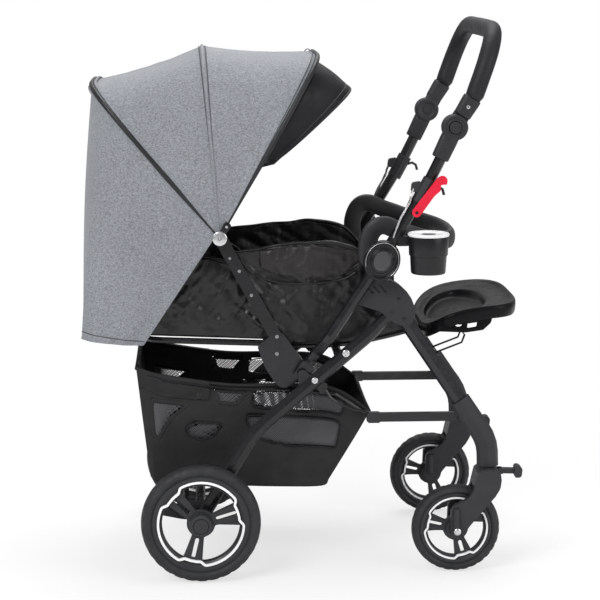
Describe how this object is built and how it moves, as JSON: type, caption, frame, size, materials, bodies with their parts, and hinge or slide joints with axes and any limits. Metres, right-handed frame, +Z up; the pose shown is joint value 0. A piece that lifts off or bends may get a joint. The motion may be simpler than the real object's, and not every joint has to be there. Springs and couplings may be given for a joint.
{
  "type": "reversible stroller",
  "caption": "Folding stroller with reversible handle, bow canopy, reclining cloth tub, foot tray, basket, cup holder, swivel front wheels and large fixed rear wheels.",
  "frame": {"origin": "on the floor under the middle of the stroller", "axes": "+X towards the swivel wheels, +Y to the stroller's left, +Z up"},
  "size_m": [0.8974, 0.597, 1.1114],
  "materials": {
    "frame_black": "satin black coating on tube",
    "bow_wire": "matte black",
    "plastic_dark": "fine matte moulding",
    "plastic_gloss": "glossy black",
    "rim_black": "semi-gloss black",
    "tyre": "matte dark grey foam rubber",
    "steel": "bright wire",
    "red_plastic": "semi-gloss red",
    "canopy_cloth": "heather grey woven cloth",
    "visor_leather": "pebbled black leatherette",
    "seat_cloth": "black woven polyester",
    "basket_cloth": "black woven polyester with mesh panels",
    "grip_foam": "soft matte foam"
  },
  "bodies": {
    "rear_frame": {"rear_axle_tube": "frame_black", "centre_cross_tube": "frame_black", "basket": "basket_cloth", "seat_tub": "seat_cloth", "rear_leg_R": "frame_black", "rear_leg_L": "frame_black", "basket_rail_R": "frame_black", "basket_rail_L": "frame_black", "seat_rail_R": "frame_black", "seat_rail_L": "frame_black"},
    "brake": {"brake_pedal_bar": "plastic_dark"},
    "rear_wheel_R": {"rear_tyre_R": "tyre", "rear_rim_R": "rim_black"},
    "rear_wheel_L": {"rear_tyre_L": "tyre", "rear_rim_L": "rim_black"},
    "front_frame": {"front_cross_tube": "frame_black", "front_bracket_R": "plastic_dark", "front_bracket_L": "plastic_dark", "front_leg_R": "frame_black", "front_leg_L": "frame_black", "caster_housing_R": "plastic_dark", "caster_housing_L": "plastic_dark"},
    "caster_R": {"swivel_fork_R": "plastic_dark"},
    "caster_L": {"swivel_fork_L": "plastic_dark"},
    "swivel_lock_R": {"swivel_lock_R": "plastic_dark"},
    "swivel_lock_L": {"swivel_lock_L": "plastic_dark"},
    "front_wheel_R": {"front_tyre_R": "tyre", "front_rim_R": "rim_black"},
    "front_wheel_L": {"front_tyre_L": "tyre", "front_rim_L": "rim_black"},
    "lower_links": {"lower_link_R": "frame_black", "lower_link_L": "frame_black"},
    "link_stays": {"link_stay_R": "frame_black", "link_stay_L": "frame_black"},
    "foot_rest": {"foot_tray": "plastic_gloss"},
    "foot_prop": {"foot_prop": "steel"},
    "bumper": {"bumper_bar": "grip_foam"},
    "arm_frame": {"arm_R": "frame_black", "arm_L": "frame_black", "canopy_rear_bow": "bow_wire", "canopy_cover": "canopy_cloth"},
    "backrest": {"back_tub": "seat_cloth", "backrest_frame": "frame_black"},
    "canopy_front": {"canopy_front_bow": "bow_wire", "canopy_visor": "visor_leather"},
    "canopy_middle": {"canopy_middle_bow": "bow_wire"},
    "handle_lower": {"handle_tube_R": "frame_black", "handle_tube_L": "frame_black", "latch_hub_R": "plastic_gloss", "latch_hub_L": "plastic_gloss", "height_joint_R": "plastic_dark", "height_joint_L": "plastic_dark", "cup_holder": "plastic_dark"},
    "handle_upper": {"handle_bar": "frame_black", "handle_grip": "grip_foam"},
    "fold_hook": {"fold_hook": "red_plastic"},
    "joint_button_R": {"joint_button_R": "plastic_dark"},
    "joint_button_L": {"joint_button_L": "plastic_dark"},
    "pull_slider_R": {"pull_slider_R": "plastic_dark"},
    "pull_slider_L": {"pull_slider_L": "plastic_dark"}
  },
  "joints": [
    {"name": "frame_fold", "type": "hinge", "parent": "rear_frame", "child": "front_frame", "pos_m": [0.176, 0, 0.537], "axis": [0, 1, 0], "range_deg": [0, 46], "deforming": ["seat_tub"]},
    {"name": "arm_fold", "type": "hinge", "parent": "rear_frame", "child": "arm_frame", "pos_m": [-0.003, 0, 0.409], "axis": [0, 1, 0], "range_deg": [0, 46]},
    {"name": "link_fold", "type": "hinge", "parent": "front_frame", "child": "lower_links", "pos_m": [0.321, 0, 0.317], "axis": [0, 1, 0], "range_deg": [-33, 0]},
    {"name": "stay_fold", "type": "hinge", "parent": "rear_frame", "child": "link_stays", "pos_m": [0.042, 0, 0.379], "axis": [0, 1, 0], "range_deg": [0, 119]},
    {"name": "handle_reverse", "type": "hinge", "parent": "rear_frame", "child": "handle_lower", "pos_m": [-0.003, 0, 0.409], "axis": [0, 1, 0], "range_deg": [-64, 0]},
    {"name": "handle_tilt", "type": "hinge", "parent": "handle_lower", "child": "handle_upper", "pos_m": [0.295, 0, 0.9065], "axis": [0, 1, 0], "range_deg": [-40, 40]},
    {"name": "backrest_recline", "type": "hinge", "parent": "arm_frame", "child": "backrest", "pos_m": [-0.052, 0, 0.462], "axis": [0, 1, 0], "range_deg": [0, 50]},
    {"name": "canopy_front_fold", "type": "hinge", "parent": "arm_frame", "child": "canopy_front", "pos_m": [-0.167, 0, 0.686], "axis": [0, -1, 0], "range_deg": [0, 58], "deforming": ["canopy_cover"]},
    {"name": "canopy_middle_fold", "type": "hinge", "parent": "arm_frame", "child": "canopy_middle", "pos_m": [-0.167, 0, 0.686], "axis": [0, -1, 0], "range_deg": [0, 31]},
    {"name": "foot_rest_tilt", "type": "hinge", "parent": "front_frame", "child": "foot_rest", "pos_m": [0.236, 0, 0.47], "axis": [0, 1, 0], "range_deg": [0, 40]},
    {"name": "foot_prop_tilt", "type": "hinge", "parent": "front_frame", "child": "foot_prop", "pos_m": [0.2832, 0, 0.4], "axis": [0, 1, 0], "range_deg": [0, 60]},
    {"name": "bumper_pull", "type": "slide", "parent": "front_frame", "child": "bumper", "axis": [0.219, 0, 0.9757], "range_m": [0, 0.06]},
    {"name": "brake_press", "type": "hinge", "parent": "rear_frame", "child": "brake", "pos_m": [-0.209, 0, 0.12], "axis": [0, -1, 0], "range_deg": [0, 25]},
    {"name": "fold_hook_turn", "type": "hinge", "parent": "handle_lower", "child": "fold_hook", "pos_m": [0.2201, 0, 0.7399], "axis": [0, 1, 0], "range_deg": [-25, 0]},
    {"name": "rear_wheel_spin_R", "type": "hinge", "parent": "rear_frame", "child": "rear_wheel_R", "pos_m": [-0.209, -0.27, 0.12], "axis": [0, 1, 0], "continuous": true},
    {"name": "caster_swivel_R", "type": "hinge", "parent": "front_frame", "child": "caster_R", "pos_m": [0.373, -0.2225, 0.218], "axis": [0, 0, 1], "continuous": true},
    {"name": "front_wheel_spin_R", "type": "hinge", "parent": "caster_R", "child": "front_wheel_R", "pos_m": [0.309, -0.2225, 0.09], "axis": [0, 1, 0], "continuous": true},
    {"name": "swivel_lock_turn_R", "type": "hinge", "parent": "caster_R", "child": "swivel_lock_R", "pos_m": [0.4015, -0.2225, 0.208], "axis": [0, 1, 0], "range_deg": [0, 25]},
    {"name": "joint_button_press_R", "type": "slide", "parent": "handle_lower", "child": "joint_button_R", "axis": [0, 1, 0], "range_m": [0, 0.004], "stiffness_N_per_m": 400, "springref_m": -0.001},
    {"name": "pull_slider_lift_R", "type": "slide", "parent": "handle_lower", "child": "pull_slider_R", "axis": [0.4801, 0, 0.8772], "range_m": [0, 0.012], "stiffness_N_per_m": 150, "springref_m": -0.004},
    {"name": "rear_wheel_spin_L", "type": "hinge", "parent": "rear_frame", "child": "rear_wheel_L", "pos_m": [-0.209, 0.27, 0.12], "axis": [0, 1, 0], "continuous": true},
    {"name": "caster_swivel_L", "type": "hinge", "parent": "front_frame", "child": "caster_L", "pos_m": [0.373, 0.2225, 0.218], "axis": [0, 0, 1], "continuous": true},
    {"name": "front_wheel_spin_L", "type": "hinge", "parent": "caster_L", "child": "front_wheel_L", "pos_m": [0.309, 0.2225, 0.09], "axis": [0, 1, 0], "continuous": true},
    {"name": "swivel_lock_turn_L", "type": "hinge", "parent": "caster_L", "child": "swivel_lock_L", "pos_m": [0.4015, 0.2225, 0.208], "axis": [0, 1, 0], "range_deg": [0, 25]},
    {"name": "joint_button_press_L", "type": "slide", "parent": "handle_lower", "child": "joint_button_L", "axis": [0, -1, 0], "range_m": [0, 0.004], "stiffness_N_per_m": 400, "springref_m": -0.001},
    {"name": "pull_slider_lift_L", "type": "slide", "parent": "handle_lower", "child": "pull_slider_L", "axis": [0.4801, 0, 0.8772], "range_m": [0, 0.012], "stiffness_N_per_m": 150, "springref_m": -0.004}
  ],
  "couplings": [
    {"joint": "arm_fold", "follows": "frame_fold", "ratio": 0.94},
    {"joint": "link_fold", "follows": "frame_fold", "ratio": -0.704},
    {"joint": "stay_fold", "follows": "frame_fold", "ratio": 2.567},
    {"joint": "canopy_middle_fold", "follows": "canopy_front_fold", "ratio": 0.52},
    {"joint": "foot_prop_tilt", "follows": "foot_rest_tilt", "ratio": 1.5}
  ]
}
